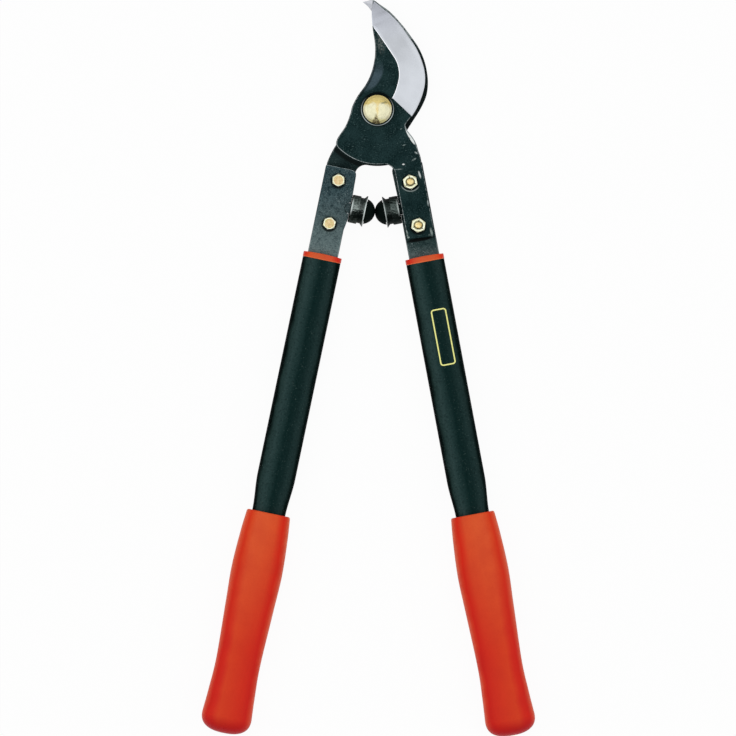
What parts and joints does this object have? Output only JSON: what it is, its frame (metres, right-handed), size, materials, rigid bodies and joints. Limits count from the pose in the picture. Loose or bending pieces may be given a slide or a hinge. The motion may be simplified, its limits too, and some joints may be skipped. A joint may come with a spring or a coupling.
{
  "type": "bypass lopper",
  "caption": "Long-handled bypass lopper with a curved cutting blade, hook blade, bolted straps, rubber bumpers, oval tube handles and slip-on grips.",
  "frame": {"origin": "middle of the flat end of the pivot bolt, on which the tool lies together with its two grips", "axes": "+Z is the pivot's axis, up out of the brass head; +Y points from the pivot to the blade tip; +X is the cutting edge's side"},
  "size_m": [0.2719, 0.6007, 0.032],
  "materials": {
    "forged_black": "black lacquer on forged steel, silver where ground",
    "strap_steel": "blue-grey hammered lacquer",
    "pivot_brass": "turned, yellow passivated",
    "yellow_zinc": "yellow zinc plating",
    "washer_black": "black oxide, bright rim",
    "cup_black": "black gloss with turning marks",
    "nose_rubber": "matt moulded rubber",
    "tube_black": "black powder coat",
    "collar_orange": "orange-red moulded plastic",
    "grip_orange": "orange-red soft vinyl"
  },
  "bodies": {
    "hook_side": {"hook_blade": "forged_black", "pivot_bolt": "pivot_brass", "pivot_washer_front": "washer_black", "pivot_washer_back": "yellow_zinc", "pivot_nut": "yellow_zinc", "left_strap": "strap_steel", "left_bolt_upper": "yellow_zinc", "left_bolt_lower": "yellow_zinc", "left_nut_upper": "yellow_zinc", "left_nut_lower": "yellow_zinc", "left_bumper_stud": "strap_steel", "left_bumper_cup": "cup_black", "left_bumper_nose": "nose_rubber", "left_collar": "collar_orange", "left_tube": "tube_black", "left_grip": "grip_orange"},
    "blade_side": {"cutting_blade": "forged_black", "right_strap": "strap_steel", "right_bolt_upper": "yellow_zinc", "right_bolt_lower": "yellow_zinc", "right_nut_upper": "yellow_zinc", "right_nut_lower": "yellow_zinc", "right_bumper_stud": "strap_steel", "right_bumper_cup": "cup_black", "right_bumper_nose": "nose_rubber", "right_collar": "collar_orange", "right_tube": "tube_black", "right_grip": "grip_orange"}
  },
  "joints": [
    {"name": "pivot", "type": "hinge", "parent": "hook_side", "child": "blade_side", "pos_m": [0, 0, 0], "axis": [0, 0, 1], "range_deg": [0, 60]}
  ]
}
